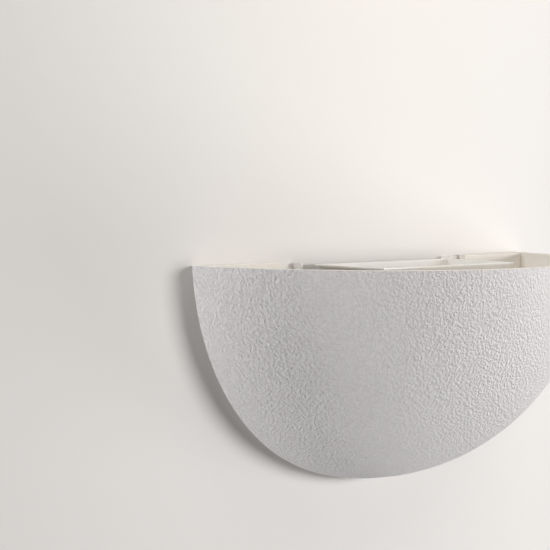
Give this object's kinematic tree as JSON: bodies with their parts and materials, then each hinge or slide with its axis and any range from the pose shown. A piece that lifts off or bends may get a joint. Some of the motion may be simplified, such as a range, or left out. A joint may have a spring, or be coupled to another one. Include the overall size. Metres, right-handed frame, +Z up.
{
  "type": "uplighter wall sconce",
  "caption": "Half-bowl uplighter that hangs on a wall bracket, with a reflector tray and one double-ended lamp between sprung contacts.",
  "frame": {"origin": "middle of the two wall screw slots, on the wall plane", "axes": "+X along the wall to the right as seen from the room, +Y into the wall, +Z up"},
  "size_m": [0.2998, 0.12, 0.13],
  "materials": {
    "bowl_plaster": "matte",
    "bracket_steel": "satin",
    "bush_rubber": "matte",
    "block_porcelain": "gloss",
    "brass": "satin",
    "plated_steel": "satin",
    "tray_enamel": "satin",
    "holder_ceramic": "matte",
    "contact_brass": "satin",
    "spring_steel": "satin",
    "quartz": "gloss",
    "tungsten": "matte",
    "cap_ceramic": "matte",
    "lead_sleeve_brown": "matte",
    "lead_sleeve_blue": "matte",
    "lead_sleeve_earth": "matte"
  },
  "bodies": {
    "bracket": {"cable_bush": "bush_rubber", "contact_spring_left": "spring_steel", "contact_spring_right": "spring_steel", "contact_terminal_left": "brass", "contact_terminal_right": "brass", "earth_lead": "lead_sleeve_earth", "earth_nut": "plated_steel", "earth_tag": "brass", "earth_washer": "plated_steel", "filament_supports": "tungsten", "holder_screws": "plated_steel", "lamp_cap_left": "cap_ceramic", "lamp_cap_right": "cap_ceramic", "lamp_contact_left": "contact_brass", "lamp_contact_right": "contact_brass", "lamp_filament": "tungsten", "lamp_holder_left": "holder_ceramic", "lamp_holder_right": "holder_ceramic", "lamp_tube": "quartz", "lead_bushes": "bush_rubber", "live_lead": "lead_sleeve_brown", "neutral_lead": "lead_sleeve_blue", "reflector_tray": "tray_enamel", "terminal_block": "block_porcelain", "terminal_nut": "plated_steel", "terminal_screws": "plated_steel", "terminal_tubes": "brass", "tray_nuts": "plated_steel", "tray_screws": "plated_steel", "wall_bracket": "bracket_steel"},
    "bowl": {"shell": "bowl_plaster"},
    "left_contact": {"contact_plunger_left": "contact_brass"},
    "right_contact": {"contact_plunger_right": "contact_brass"}
  },
  "joints": [
    {"name": "bowl_lift", "type": "slide", "parent": "bracket", "child": "bowl", "axis": [0, 0, 1], "range_m": [0, 0.008]},
    {"name": "left_contact_press", "type": "slide", "parent": "bracket", "child": "left_contact", "axis": [-1, 0, 0], "range_m": [0, 0.003], "stiffness_N_per_m": 1500, "deforming": ["contact_spring_left"]},
    {"name": "right_contact_press", "type": "slide", "parent": "bracket", "child": "right_contact", "axis": [1, 0, 0], "range_m": [0, 0.003], "stiffness_N_per_m": 1500, "deforming": ["contact_spring_right"]}
  ]
}
